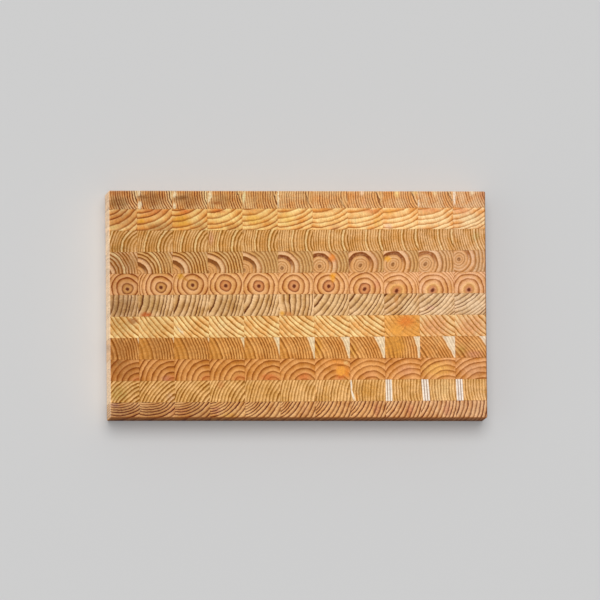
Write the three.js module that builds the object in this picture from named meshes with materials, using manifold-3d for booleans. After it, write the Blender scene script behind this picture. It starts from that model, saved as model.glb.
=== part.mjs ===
// End-grain cutting board of larch. Timbers are glued side by side into a panel, the panel is
// cross-cut into slices, the slices are stood on end and glued into a blank, and the blank is
// sawn to its outline, planed and rounded over.
// Millimetres, +Z up. The origin is the middle of the underside, +X runs along the long side
// and +Y to the back. Slice 1 is at the left end and row 1 at the back.
import * as THREE from "three";
import { RoundedBoxGeometry } from "three/addons/geometries/RoundedBoxGeometry.js";
import { mergeVertices } from "three/addons/utils/BufferGeometryUtils.js";
import Module from "manifold-3d";

// The timbers and the glue-up
const TIMBER_DEPTH = 41.7; // a timber's section along X, the thickness of the first panel
const TIMBER_WIDTH = 25.4; // a timber's section along Y
const GLUE_LINE = 0.1; // film of glue in each joint
const SLICES = 11; // cross-cut slices side by side along X
const GRID_SKEW = 0.4; // degrees by which the glue-up sits askew in the sawn outline

// The finished board
const THICKNESS = 45; // planed height, the length of every block
const LEFT_TRIM = 7.5; // sawn off the blank's left end
const RIGHT_TRIM = 3.8; // sawn off its right end
const BACK_TRIM = 4.5; // sawn off its back
const FRONT_TRIM = 6.2; // sawn off its front
const ROUND_OVER = 2; // radius run round every outside edge and corner
const ROUND_STEPS = 4; // facets in each eighth of a turn of that radius

// Stacks of neighbouring blocks in a slice, from the back, each with the hue of its timbers
const STACKS = [
  { rows: 2, colour: 0xd39c60 },
  { rows: 2, colour: 0xc89259 },
  { rows: 3, colour: 0xcf9b62 },
  { rows: 2, colour: 0xca894a },
  { rows: 2, colour: 0xc38e55 },
];
const OILED_ROUGHNESS = 0.5;

const rowCount = STACKS.reduce((sum, stack) => sum + stack.rows, 0);
const slicePitch = TIMBER_DEPTH + GLUE_LINE;
const rowPitch = TIMBER_WIDTH + GLUE_LINE;
const blankLength = SLICES * slicePitch - GLUE_LINE;
const blankWidth = rowCount * rowPitch - GLUE_LINE;
const boardLength = blankLength - LEFT_TRIM - RIGHT_TRIM;
const boardWidth = blankWidth - BACK_TRIM - FRONT_TRIM;
const skewAngle = THREE.MathUtils.degToRad(GRID_SKEW);
// The uneven trims leave the middle of the blank beside the middle of the board.
const blankMiddle = new THREE.Vector2(RIGHT_TRIM - LEFT_TRIM, BACK_TRIM - FRONT_TRIM);
blankMiddle.divideScalar(2);

const wasm = await Module();
wasm.setup();

// A closed geometry as a solid that can be cut.
function solidFrom(geometry) {
  const bare = new THREE.BufferGeometry();
  bare.setAttribute("position", geometry.getAttribute("position"));
  bare.setIndex(geometry.index);
  const merged = mergeVertices(bare);
  const mesh = new wasm.Mesh({
    numProp: 3,
    vertProperties: new Float32Array(merged.attributes.position.array),
    triVerts: new Uint32Array(merged.index.array),
  });
  return new wasm.Manifold(mesh);
}

// A cut solid as a flat-shaded geometry.
function geometryFrom(solid) {
  const { vertProperties, triVerts } = solid.getMesh();
  const indexed = new THREE.BufferGeometry();
  indexed.setAttribute("position", new THREE.BufferAttribute(vertProperties, 3));
  indexed.setIndex(new THREE.BufferAttribute(triVerts, 1));
  const flat = indexed.toNonIndexed();
  flat.computeVertexNormals();
  return flat;
}

// The sawn, planed and rounded board, turned into the askew frame of the blank.
function roundedOutline() {
  const outline = new RoundedBoxGeometry(
    boardLength,
    boardWidth,
    THICKNESS,
    ROUND_STEPS,
    ROUND_OVER,
  );
  outline.translate(-blankMiddle.x, -blankMiddle.y, THICKNESS / 2);
  outline.rotateZ(-skewAngle);
  return solidFrom(outline);
}

// What the outline leaves of one stack of blocks, about the stack's own centre.
function trimmedStack(centre, width, outline) {
  const sawn = new THREE.BoxGeometry(TIMBER_DEPTH, width, THICKNESS);
  sawn.translate(centre.x, centre.y, centre.z);
  const geometry = geometryFrom(solidFrom(sawn).intersect(outline));
  return geometry.translate(-centre.x, -centre.y, -centre.z);
}

const twoDigits = (number) => String(number).padStart(2, "0");

// One slice: its stacks of blocks from the back of the board to the front.
function makeSlice(index, outline) {
  const slice = new THREE.Group();
  slice.name = `slice_${twoDigits(index + 1)}`;
  slice.position.x = index * slicePitch + (TIMBER_DEPTH - blankLength) / 2;
  let row = 0;
  for (const { rows, colour } of STACKS) {
    const width = rows * rowPitch - GLUE_LINE;
    const y = blankWidth / 2 - row * rowPitch - width / 2;
    const centre = new THREE.Vector3(slice.position.x, y, THICKNESS / 2);
    const material = new THREE.MeshStandardMaterial({
      color: colour,
      roughness: OILED_ROUGHNESS,
      metalness: 0,
    });
    const stack = new THREE.Mesh(trimmedStack(centre, width, outline), material);
    stack.name = `${slice.name}_rows_${twoDigits(row + 1)}_${twoDigits(row + rows)}`;
    stack.position.set(0, centre.y, centre.z);
    slice.add(stack);
    row += rows;
  }
  return slice;
}

// The blank of glued slices, which lies askew in the board's own frame.
function makeBlank() {
  const blank = new THREE.Group();
  blank.name = "blank";
  blank.position.set(blankMiddle.x, blankMiddle.y, 0);
  blank.rotation.z = skewAngle;
  const outline = roundedOutline();
  for (let index = 0; index < SLICES; index += 1) {
    blank.add(makeSlice(index, outline));
  }
  return blank;
}

const board = new THREE.Group();
board.name = "cutting_board";
board.add(makeBlank());

export default board;
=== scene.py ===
"""End-grain cutting board of larch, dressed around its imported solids.

The board is a mosaic of 11 by 11 blocks. Each row of the mosaic was sawn from one timber, so its
blocks show the same growth rings about a pith that wanders along that timber. Every block carries
its timber's own coordinates, and its finish is worked out from them on every face.

Sizes are in millimetres until a mesh is made. x runs to the right along the long side, y to the
back and z up, from the middle of the underside.
"""

import logging
import math
from dataclasses import dataclass
from enum import Enum
from typing import Any

import bpy
import numpy as np
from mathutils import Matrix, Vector


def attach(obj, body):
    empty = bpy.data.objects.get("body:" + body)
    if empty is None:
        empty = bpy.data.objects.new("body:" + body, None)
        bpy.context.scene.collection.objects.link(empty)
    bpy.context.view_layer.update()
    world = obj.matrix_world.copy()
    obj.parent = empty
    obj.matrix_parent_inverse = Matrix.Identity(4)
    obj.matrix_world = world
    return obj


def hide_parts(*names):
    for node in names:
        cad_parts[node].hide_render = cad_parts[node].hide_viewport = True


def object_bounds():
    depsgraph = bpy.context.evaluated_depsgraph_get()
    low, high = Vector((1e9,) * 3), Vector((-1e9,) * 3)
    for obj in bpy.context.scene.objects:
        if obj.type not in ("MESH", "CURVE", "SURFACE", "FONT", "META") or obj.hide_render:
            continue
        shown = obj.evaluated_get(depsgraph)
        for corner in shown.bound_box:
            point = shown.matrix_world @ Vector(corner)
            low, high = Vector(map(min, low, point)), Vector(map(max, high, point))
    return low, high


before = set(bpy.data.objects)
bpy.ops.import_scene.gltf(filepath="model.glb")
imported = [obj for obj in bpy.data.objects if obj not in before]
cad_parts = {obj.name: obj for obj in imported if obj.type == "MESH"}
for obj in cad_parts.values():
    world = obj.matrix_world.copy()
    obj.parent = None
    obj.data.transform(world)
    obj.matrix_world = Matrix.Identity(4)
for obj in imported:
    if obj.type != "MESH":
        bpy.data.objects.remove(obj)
CAD_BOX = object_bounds()

LOG = logging.getLogger("cutting_board")
MM = 0.001  # metres in a millimetre
BODY = "root"  # nothing on the board moves

RINGS = "rings"  # attribute: place from the pith across the timber, and along the timber
PLACE = "place"  # attribute: place from the block's centre, and along the timber
EDGE = "edge"  # attribute: 0 on a flat face, rising to 1 on the walls round the board

CREAM = "#f6e0bd"  # sapwood under oil
WHITE = "#fdf1df"  # sapwood at its palest

Tree = bpy.types.NodeTree
Socket = bpy.types.NodeSocket

# Kinds of node that are used again and again
MATH = "ShaderNodeMath"
VECTOR_MATH = "ShaderNodeVectorMath"
MAP_RANGE = "ShaderNodeMapRange"
MIX = "ShaderNodeMix"
NOISE = "ShaderNodeTexNoise"
SEPARATE = "ShaderNodeSeparateXYZ"
ATTRIBUTE = "ShaderNodeAttribute"

# Sockets of a colour Mix node, and settings that many nodes share
MIX_FACTOR, MIX_A, MIX_B, MIX_RESULT = 0, 6, 7, 2
COLOUR_MIX = {"output": MIX_RESULT, "data_type": "RGBA"}
SMOOTH = {"interpolation_type": "SMOOTHSTEP"}
TIMES = {"operation": "MULTIPLY"}
LENGTH = {"output": "Value", "operation": "LENGTH"}
FACING = {"output": "Value", "operation": "DOT_PRODUCT"}

# Spans of a cloudy figure, whose values lie about 0.5, over which a look builds up
CLOUDS = {"From Min": 0.3, "From Max": 0.7}
BLUSH_CLOUDS = {"From Min": 0.38, "From Max": 0.68}
FIBRE_ENDS = {"From Min": 0.25, "From Max": 0.75}
KNOT_RAYS = {"From Min": 0.45, "From Max": 0.62}

# Cosines from the side that a band faces, at which it has gone and at which it is whole
BAND_SIDE = {"From Min": -0.5, "From Max": 0.6}
BAND_LEAD = 0.01  # slices by which a band starts early, clear of rounding


class Slot(Enum):
    """Material slots of the record, one for each stack of neighbouring rows."""

    HONEY = "honey_larch"
    TAN = "tan_larch"
    STRAW = "straw_larch"
    RUSSET = "russet_larch"
    AMBER = "amber_larch"


# The rows of each stack, first and last, from the back
STACK_ROWS = {
    Slot.HONEY: (1, 2),
    Slot.TAN: (3, 4),
    Slot.STRAW: (5, 7),
    Slot.RUSSET: (8, 9),
    Slot.AMBER: (10, 11),
}


def linear(colour: str) -> tuple[float, ...]:
    """Turns an sRGB hex colour into linear RGBA.

    Args:
        colour: Colour such as "#c08040".

    Returns:
        Red, green, blue and an alpha of 1.
    """
    coded = np.array([int(colour[start : start + 2], 16) for start in (1, 3, 5)]) / 255
    dark = coded / 12.92
    light = ((coded + 0.055) / 1.055) ** 2.4
    return (*np.where(coded <= 0.04045, dark, light).tolist(), 1.0)


def add_node(
    tree: Tree,
    kind: str,
    inputs: dict[str | int, Any] | None = None,
    output: str | int = 0,
    **settings: Any,
) -> Socket:
    """Adds a node to a tree with its settings, values and links.

    Args:
        tree: Node tree that takes the node.
        kind: Blender's name for the type of node.
        inputs: Value of each input, or the output socket that feeds it, by name or number.
        output: Name or number of the output that is handed back.
        **settings: Properties of the node.

    Returns:
        The chosen output socket, whose node is the new one.
    """
    node = tree.nodes.new(kind)
    for name, value in settings.items():
        setattr(node, name, value)
    for key, value in (inputs or {}).items():
        if isinstance(value, Socket):
            tree.links.new(value, node.inputs[key])
        else:
            node.inputs[key].default_value = value
    return node.outputs[output]


@dataclass(frozen=True)
class Patch:
    """A knot, streak or stain in one block, from the block's centre in millimetres."""

    column: int
    x: float
    y: float
    half_x: float
    half_y: float
    tint: str
    strength: float = 0.7
    turn: float = 0.0  # degrees
    core: float = 0.15  # share of its reach that has its full strength
    swell: float = 0.0  # how far the rings bend round it
    rays: float = 0.0  # rays in one turn about its centre
    ray_shade: float = 0.25  # how much its rays darken it
    depth: float = 30.0  # half its length along the timber
    over: bool = False  # hides the rings, as a knot does, or else only tints the spring wood
    crisp: bool = False  # has even edges and an even tint

    def inside(self, tree: Tree, place: Socket, slice_pitch: float) -> Socket:
        """Turns places into the patch's own, where its skin is the unit ball.

        Args:
            tree: Node tree of the material.
            place: Place from the block's centre and along the timber.
            slice_pitch: Length of timber that each slice takes.

        Returns:
            Socket with the places.
        """
        return add_node(
            tree,
            "ShaderNodeMapping",
            {
                "Vector": place,
                "Location": (self.x, self.y, self.column * slice_pitch),
                "Rotation": (0.0, 0.0, math.radians(self.turn)),
                "Scale": (self.half_x, self.half_y, self.depth),
            },
            vector_type="TEXTURE",
        )

    def mask(self, tree: Tree, inside: Socket) -> Socket:
        """Marks the patch: 1 in its core, falling smoothly to 0 at its skin.

        Args:
            tree: Node tree of the material.
            inside: Places in the patch.

        Returns:
            Socket with the mask.
        """
        distance = add_node(tree, VECTOR_MATH, {0: inside}, **LENGTH)
        return add_node(
            tree, MAP_RANGE, {"Value": distance, "From Min": 1.0, "From Max": self.core}, **SMOOTH
        )

    def shade(self, tree: Tree, inside: Socket, mask: Socket) -> Socket:
        """Draws dark rays that fan out from the patch's centre, by the angle about it.

        Args:
            tree: Node tree of the material.
            inside: Places in the patch.
            mask: Mask of the patch.

        Returns:
            Socket with a brightness, 1 outside the patch.
        """
        parts = add_node(tree, SEPARATE, {0: inside}).node.outputs
        angle = add_node(tree, MATH, {0: parts[1], 1: parts[0]}, operation="ARCTAN2")
        figure = add_node(
            tree,
            NOISE,
            {"W": angle, "Scale": self.rays / math.tau, "Detail": 1.0},
            noise_dimensions="1D",
        )
        dark = add_node(tree, MAP_RANGE, {"Value": figure, **KNOT_RAYS, "To Max": self.ray_shade})
        kept = add_node(tree, MATH, {0: dark, 1: mask}, **TIMES)
        return add_node(tree, MATH, {0: 1.0, 1: kept}, operation="SUBTRACT")


@dataclass(frozen=True)
class Band:
    """A stained ring of heartwood between two radii, which may show on one side of the pith."""

    inner: float
    outer: float
    tint: str
    strength: float = 0.7
    soft: float = 0.8  # millimetres over which each edge fades
    facing: float | None = None  # degrees from the x axis to the side where it shows most
    slices: tuple[int, int] | None = None  # first and last slice that it shows in
    over: bool = True  # hides the rings, or else only tints the spring wood
    crisp: bool = False  # has an even tint

    def mask(self, tree: Tree, radius: Socket, across: Socket, share_along: Socket) -> Socket:
        """Marks the band: 1 between its radii, and less away from the side that it faces.

        Args:
            tree: Node tree of the material.
            radius: Distance from the pith.
            across: Place from the pith, across the timber.
            share_along: Distance along the timber, counted in slices.

        Returns:
            Socket with the mask.
        """
        rise = add_node(
            tree,
            MAP_RANGE,
            {"Value": radius, "From Min": self.inner - self.soft, "From Max": self.inner},
            **SMOOTH,
        )
        fall = add_node(
            tree,
            MAP_RANGE,
            {"Value": radius, "From Min": self.outer + self.soft, "From Max": self.outer},
            **SMOOTH,
        )
        mask = add_node(tree, MATH, {0: rise, 1: fall}, **TIMES)
        if self.slices is not None:
            first, last = self.slices
            reach = (last + 1 - first) / 2
            begun = add_node(
                tree,
                MATH,
                {0: share_along, 1: first + reach - BAND_LEAD, 2: reach},
                operation="COMPARE",
            )
            mask = add_node(tree, MATH, {0: mask, 1: begun}, **TIMES)
        if self.facing is None:
            return mask
        turn = math.radians(self.facing)
        outwards = add_node(tree, VECTOR_MATH, {0: across}, operation="NORMALIZE")
        towards = add_node(
            tree, VECTOR_MATH, {0: outwards, 1: (math.cos(turn), math.sin(turn), 0.0)}, **FACING
        )
        side = add_node(tree, MAP_RANGE, {"Value": towards, **BAND_SIDE}, **SMOOTH)
        return add_node(tree, MATH, {0: mask, 1: side}, **TIMES)


@dataclass(frozen=True)
class Timber:
    """One length of larch, cross-cut into the eleven blocks of a row."""

    row: int
    pith: dict[int, tuple[float, float]]  # slice: x, y of the pith from the block's centre
    rings: tuple[float, ...]  # radii at which a year's dark latewood ends
    early: str  # pale wood of the spring
    blush: str  # the same wood where it is redder
    late: str  # dark wood of the autumn
    sap: str = "#f3d2a4"
    sap_radius: float = 200.0  # sapwood begins
    latewood: float = 0.5  # share of a ring that darkens
    line: float = 0.2  # share of a ring that is fully dark
    wobble: float = 1.3  # how far the rings stray from circles
    faintest: float = 0.6  # strength of its faintest rings
    trend: float = 1.0  # how much browner and darker it is at its first slice than at its last, partly painted shade
    fade: float = 0.75  # strength of the rings at its last slice
    painted_highlight: float = 1.0  # strength of the painted highlight on its walls that face the lamps
    bands: tuple[Band, ...] = ()
    patches: tuple[Patch, ...] = ()

    def pith_at(self, along: np.ndarray, slice_pitch: float) -> np.ndarray:
        """Follows the pith in straight runs between the slices where it was measured.

        Args:
            along: Distances along the timber.
            slice_pitch: Length of timber that each slice takes.

        Returns:
            x and y of the pith at each distance, as an array with a last axis of 2.
        """
        stations = np.array(list(self.pith)) * slice_pitch
        places = np.array(list(self.pith.values()))
        return np.stack([np.interp(along, stations, places[:, axis]) for axis in (0, 1)], -1)

    def all_rings(self, reach: float) -> np.ndarray:
        """Continues the measured rings inwards to the pith and outwards to a radius.

        Rings inside the first measured one are as wide as the step to the second, and rings
        outside the last one as wide as the step before it.

        Args:
            reach: Radius to cover.

        Returns:
            Radii of all rings, from the pith outwards.
        """
        known = np.array(self.rings)
        first, last = known[1] - known[0], known[-1] - known[-2]
        inner = np.arange(known[0] - first, 0, -first)[::-1]
        outer = np.arange(known[-1] + last, reach + last, last)
        return np.concatenate([inner, known, outer])


@dataclass(frozen=True)
class OiledEndGrain:
    """Larch sawn across the grain, sanded fine and rubbed with oil.

    The saw opens the fibre ends, which drink the oil and darken a little, most of all in the soft
    spring wood. The hard autumn wood stays smoother and takes a low sheen.
    """

    slice_pitch: float  # length of timber that each slice takes
    reach: float = 125.0  # greatest distance from a pith that shows
    sway_size: float = 17.0  # across one bend of a ring
    ripple_size: float = 4.0  # across one small ripple of a ring
    ripple: float = 0.65
    lengthwise: float = 12.0  # how much longer than wide every figure is along the grain
    blush_size: float = 15.0  # across one cloud of redder wood
    cloud_redness: float = 0.7  # of the spring wood in the middle of such a cloud
    season: tuple[float, float] = (0.15, 0.85)  # phases of a ring between which it reddens
    season_redness: float = 0.65  # of the spring wood at the end of that
    year_end_dark: float = 0.8  # darkness at the sharp step from autumn to spring
    year_start: float = 0.06  # phase at which spring has no darkness left
    summer_dark: float = 0.03  # darkness at which latewood begins
    dark_lead: float = 0.08  # phase before full darkness at which the wood is part dark
    lead_dark: float = 0.4  # how dark it is there
    strength_sum: float = 1.7  # strengths of a timber's faintest and boldest rings, added
    ring_drift: tuple[float, float] = (0.75, 1.15)  # weakest and strongest stretch of a ring
    first_strength: float = 1.05  # strength of the rings at a timber's first slice
    sap_edge: float = 0.8  # half the width over which heartwood turns into sapwood
    sap_rings: float = 0.45  # strength of the rings in sapwood
    fibre_size: float = 1.1  # bundle of fibres, drawn coarse enough to show
    fibre_contrast: float = 0.18
    ray_size: float = 1.3  # spacing of the rays, drawn coarse enough to show
    ray_contrast: float = 0.10
    ray_radius: float = 45.0  # distance from the pith at which rays have their spacing
    ray_change: tuple[float, float] = (0.12, 0.05)  # change in a millimetre, outwards and along
    raggedness: float = 1.6  # how far the edge of a stain strays
    mottle_size: float = 2.6  # across one fleck of a stain
    mottling: tuple[float, float] = (0.65, 1.15)  # weakest and strongest fleck
    hue_and_shade_along: tuple[tuple[int, tuple[float, ...]], ...] = (
        (1, (0.91, 0.89, 0.83)),
        (4, (0.965, 0.945, 0.80)),
        (7, (1.025, 1.01, 0.93)),
        (9, (1.055, 1.045, 1.03)),
        (11, (1.01, 1.02, 1.12)),
    )  # the tone at some of a timber's slices, against its mean: partly the wood's own hue, partly painted shade that darkens towards the board's left end
    slices: int = 11
    # Painted light on the walls round the board: a painted highlight where they face the lamps,
    # painted shade where they face away, deepest at the foot
    painted_light_side: tuple[float, ...] = (-0.9, 0.6, 0.0)  # the side of the lamps; walls that face it get a painted highlight
    full_highlight_facing: float = 0.85  # how far a wall with the full painted highlight faces that side
    unpainted_facing: float = 0.1  # the same for a wall with neither painted highlight nor painted shade
    full_shade_facing: float = -0.35  # the same for a wall in full painted shade
    painted_highlight_wall: str = "#ffe2c0"  # long grain, made paler as a painted highlight, on the walls that face the lamps
    # share of the painted highlight on a wall that fully faces the lamps
    painted_highlight_share: float = 0.8
    painted_shade_wall: str = "#a85f2a"  # long grain of the other walls, darkened as painted shade
    painted_shade_foot: str = "#45220c"  # the same low down, darker still as painted shade at the foot
    shade_foot_height: float = 43.0  # over which the painted shade at the foot gives way to the wall's hue
    # share of the painted shade on a wall that fully faces away
    painted_shade_share: float = 0.75
    spring_roughness: float = 0.62
    autumn_roughness: float = 0.50
    wall_roughness: float = 0.95  # sawn and only lightly sanded
    wall_span: tuple[float, float] = (0.1, 0.9)  # of the round-over, from end grain to long grain
    relief: float = 0.05  # height of the autumn wood above the spring wood
    oil_ior: float = 1.47
    oil_level: float = 0.1  # open fibre ends break up most of the oil's sheen

    def noise(
        self,
        tree: Tree,
        place: Socket,
        size: float,
        detail: float,
        output: str | int = 0,
    ) -> Socket:
        """Draws a cloudy figure of a given size across the grain, drawn out along it.

        Args:
            tree: Node tree of the material.
            place: Place in the timber.
            size: Width of one cloud across the grain.
            detail: Octaves of finer clouds.
            output: 0 for a grey value and 1 for three values.

        Returns:
            Socket with the figure, about 0.5.
        """
        shrunk = add_node(
            tree,
            VECTOR_MATH,
            {0: place, 1: (1 / size, 1 / size, 1 / (size * self.lengthwise))},
            **TIMES,
        )
        return add_node(
            tree, NOISE, {"Vector": shrunk, "Scale": 1.0, "Detail": detail}, output=output
        )

    def strayed(self, tree: Tree, place: Socket, size: float, amount: float) -> Socket:
        """Moves places by a cloudy figure, so that circles about the pith stray from round.

        Args:
            tree: Node tree of the material.
            place: Place in the timber.
            size: Width of one bend.
            amount: Greatest stray.

        Returns:
            Socket with the moved places.
        """
        figure = self.noise(tree, place, size, 1.0, output=1)
        stray = add_node(
            tree,
            VECTOR_MATH,
            {0: figure, 1: (2 * amount,) * 3, 2: (-amount,) * 3},
            operation="MULTIPLY_ADD",
        )
        return add_node(tree, VECTOR_MATH, {0: place, 1: stray}, operation="ADD")

    def ring_count(self, tree: Tree, timber: Timber, radius: Socket) -> Socket:
        """Counts rings outwards: a curve through the timber's ring radii, straight between them.

        Args:
            tree: Node tree of the material.
            timber: Timber whose rings are counted.
            radius: Distance from the pith.

        Returns:
            Socket whose whole part is the ring's number and whose fraction is its phase.
        """
        rings = timber.all_rings(self.reach)
        share = add_node(tree, MAP_RANGE, {"Value": radius, "From Max": float(rings[-1])})
        curve = add_node(tree, "ShaderNodeFloatCurve", {"Value": share})
        points = curve.node.mapping.curves[0].points
        for number, ring in enumerate(rings[:-1], start=1):
            points.new(ring / rings[-1], number / len(rings))
        for point in points:
            point.handle_type = "VECTOR"
        curve.node.mapping.update()
        return add_node(tree, MATH, {0: curve, 1: float(len(rings))}, **TIMES)

    def autumn_share(
        self,
        tree: Tree,
        timber: Timber,
        count: Socket,
        place: Socket,
        share_along: Socket,
    ) -> Socket:
        """Darkens each ring from spring to autumn, with a sharp step back to spring.

        Every ring has its own strength, which drifts along the ring and fades along the timber.

        Args:
            tree: Node tree of the material.
            timber: Timber whose rings are drawn.
            count: Ring number and phase.
            place: Place in the timber.
            share_along: Distance along the timber, counted in slices.

        Returns:
            Socket with the share of autumn wood.
        """
        phase = add_node(tree, MATH, {0: count}, operation="FRACT")
        year = add_node(tree, MATH, {0: count}, operation="FLOOR")
        year_of_row = add_node(tree, MATH, {0: year, 1: timber.row * self.reach}, operation="ADD")
        profile = add_node(tree, "ShaderNodeValToRGB", {"Fac": phase})
        ramp = profile.node.color_ramp
        ramp.elements[0].color = (*(self.year_end_dark,) * 3, 1.0)
        dark_from = 1 - timber.line
        steps = {
            self.year_start: 0.0,
            1 - timber.latewood: self.summer_dark,
            dark_from - self.dark_lead: self.lead_dark,
            dark_from: 1.0,
        }
        for position, dark in steps.items():
            ramp.elements.new(position).color = (dark, dark, dark, 1.0)
        luck = add_node(tree, "ShaderNodeTexWhiteNoise", {"W": year_of_row}, noise_dimensions="1D")
        boldest = self.strength_sum - timber.faintest
        strength = add_node(
            tree, MAP_RANGE, {"Value": luck, "To Min": timber.faintest, "To Max": boldest}
        )
        drift = self.noise(tree, place, self.blush_size, 1.0)
        weakest, strongest = self.ring_drift
        along_ring = add_node(
            tree, MAP_RANGE, {"Value": drift, **CLOUDS, "To Min": weakest, "To Max": strongest}
        )
        kept = add_node(tree, MATH, {0: strength, 1: along_ring}, **TIMES)
        faded = add_node(
            tree,
            MAP_RANGE,
            {
                "Value": share_along,
                "From Min": 1.0,
                "From Max": float(self.slices),
                "To Min": self.first_strength,
                "To Max": timber.fade,
            },
        )
        kept = add_node(tree, MATH, {0: kept, 1: faded}, **TIMES)
        return add_node(tree, MATH, {0: profile, 1: kept}, **TIMES, use_clamp=True)

    def trended_and_shaded(self, tree: Tree, timber: Timber, colour: Socket, share_along: Socket) -> Socket:
        """Makes the wood browner at the timber's first slices and paler at its last, partly as the
        wood's own hue and partly as painted shade towards the board's left end.

        Args:
            tree: Node tree of the material.
            timber: Timber whose trend is drawn.
            colour: Colour without the trend.
            share_along: Distance along the timber, counted in slices.

        Returns:
            Socket with the colour times a hue that changes along the timber.
        """
        hue = (1.0, 1.0, 1.0, 1.0)
        before = 0
        for at, parts in self.hue_and_shade_along:
            share = add_node(
                tree,
                MAP_RANGE,
                {"Value": share_along, "From Min": float(before), "From Max": float(at)},
            )
            next_hue = (*(1 + timber.trend * (part - 1) for part in parts), 1.0)
            hue = add_node(
                tree, MIX, {MIX_FACTOR: share, MIX_A: hue, MIX_B: next_hue}, **COLOUR_MIX
            )
            before = at
        return add_node(tree, VECTOR_MATH, {0: colour, 1: hue}, **TIMES)

    def spring_redness(self, tree: Tree, count: Socket, place: Socket) -> Socket:
        """Reddens the spring wood in clouds, and within each ring from its first growth on.

        Args:
            tree: Node tree of the material.
            count: Ring number and phase.
            place: Place in the timber.

        Returns:
            Socket with the share of the redder hue.
        """
        phase = add_node(tree, MATH, {0: count}, operation="FRACT")
        first, last = self.season
        season = add_node(
            tree,
            MAP_RANGE,
            {"Value": phase, "From Min": first, "From Max": last, "To Max": self.season_redness},
        )
        clouds = self.noise(tree, place, self.blush_size, 2.0)
        cloudy = add_node(
            tree, MAP_RANGE, {"Value": clouds, **BLUSH_CLOUDS, "To Max": self.cloud_redness}
        )
        return add_node(tree, MATH, {0: season, 1: cloudy}, operation="ADD", use_clamp=True)

    def fibres(self, tree: Tree, across: Socket, radius: Socket) -> Socket:
        """Draws the ends of the fibres, and rays that run out from the pith between them.

        The rays are a figure of the angle about the pith, wide along the radius.

        Args:
            tree: Node tree of the material.
            across: Place from the pith and along the timber.
            radius: Distance from the pith.

        Returns:
            Socket with a brightness about 1.
        """
        fibre = self.noise(tree, across, self.fibre_size, 3.0)
        fibre_light = add_node(
            tree,
            MAP_RANGE,
            {
                "Value": fibre,
                **FIBRE_ENDS,
                "To Min": 1 - self.fibre_contrast,
                "To Max": 1 + self.fibre_contrast,
            },
        )
        parts = add_node(tree, SEPARATE, {0: across}).node.outputs
        angle = add_node(tree, MATH, {0: parts[1], 1: parts[0]}, operation="ARCTAN2")
        fan = add_node(tree, "ShaderNodeCombineXYZ", {"X": angle, "Y": radius, "Z": parts[2]})
        spread = add_node(
            tree,
            VECTOR_MATH,
            {0: fan, 1: (self.ray_radius / self.ray_size, *self.ray_change)},
            **TIMES,
        )
        ray = add_node(tree, NOISE, {"Vector": spread, "Scale": 1.0, "Detail": 1.0})
        ray_light = add_node(
            tree,
            MAP_RANGE,
            {
                "Value": ray,
                **CLOUDS,
                "To Min": 1 - self.ray_contrast,
                "To Max": 1 + self.ray_contrast,
            },
        )
        return add_node(tree, MATH, {0: fibre_light, 1: ray_light}, **TIMES)

    def walls_with_painted_light(self, tree: Tree, timber: Timber, colour: Socket, wall: Socket) -> Socket:
        """Gives the walls the hue of long grain, with painted light: a painted highlight where they
        face the lamps, painted shade where they face away, darker towards the foot.

        Args:
            tree: Node tree of the material.
            timber: Timber whose walls are drawn.
            colour: Colour of the end grain.
            wall: Mask of the walls round the board.

        Returns:
            Socket with the colour of all faces.
        """
        normal = add_node(tree, "ShaderNodeNewGeometry", output="Normal")
        # Painted highlight where a wall faces the lamps, painted shade where it faces away
        lamp_facing = add_node(tree, VECTOR_MATH, {0: normal, 1: self.painted_light_side}, **FACING)
        highlight_mix = add_node(
            tree,
            MAP_RANGE,
            {
                "Value": lamp_facing,
                "From Min": self.unpainted_facing,
                "From Max": self.full_highlight_facing,
                "To Max": self.painted_highlight_share * timber.painted_highlight,
            },
        )
        shade_mix = add_node(
            tree,
            MAP_RANGE,
            {
                "Value": lamp_facing,
                "From Min": self.unpainted_facing,
                "From Max": self.full_shade_facing,
                "To Max": self.painted_shade_share,
            },
        )
        # Painted shade that deepens towards the foot of the walls
        board = add_node(tree, "ShaderNodeTexCoord", output="Object")
        height = add_node(tree, SEPARATE, {0: board}, output="Z")
        above_shaded_foot = add_node(tree, MAP_RANGE, {"Value": height, "From Max": self.shade_foot_height * MM})
        shade_hue = add_node(
            tree,
            MIX,
            {
                MIX_FACTOR: above_shaded_foot,
                MIX_A: linear(self.painted_shade_foot),
                MIX_B: linear(self.painted_shade_wall),
            },
            **COLOUR_MIX,
        )
        for share, hue in ((highlight_mix, linear(self.painted_highlight_wall)), (shade_mix, shade_hue)):
            amount = add_node(tree, MATH, {0: wall, 1: share}, **TIMES)
            colour = add_node(
                tree, MIX, {MIX_FACTOR: amount, MIX_A: colour, MIX_B: hue}, **COLOUR_MIX
            )
        return colour

    def stained(
        self,
        tree: Tree,
        colour: Socket,
        stains: list[tuple[Band | Patch, Socket]],
        mottle: Socket,
    ) -> Socket:
        """Lays stains on a colour, one after the other.

        Args:
            tree: Node tree of the material.
            colour: Colour without the stains.
            stains: Each stain with its mask.
            mottle: Figure that makes stains uneven, except those with even edges.

        Returns:
            Socket with the stained colour.
        """
        for stain, mask in stains:
            amount = add_node(tree, MATH, {0: mask, 1: stain.strength}, **TIMES)
            if not stain.crisp:
                amount = add_node(tree, MATH, {0: amount, 1: mottle}, **TIMES, use_clamp=True)
            colour = add_node(
                tree,
                MIX,
                {MIX_FACTOR: amount, MIX_A: colour, MIX_B: linear(stain.tint)},
                **COLOUR_MIX,
            )
        return colour

    def material(self, timber: Timber) -> bpy.types.Material:
        """Makes the finish of one timber's blocks.

        Args:
            timber: Timber whose rings, hues, bands and patches are drawn.

        Returns:
            The material.
        """
        made = bpy.data.materials.new(f"larch_end_grain_sanded_oiled_{timber.row:02d}")
        made.use_nodes = True
        tree = made.node_tree
        shader = tree.nodes["Principled BSDF"]
        rings_at = add_node(tree, ATTRIBUTE, output="Vector", attribute_name=RINGS)
        place = add_node(tree, ATTRIBUTE, output="Vector", attribute_name=PLACE)

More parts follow.
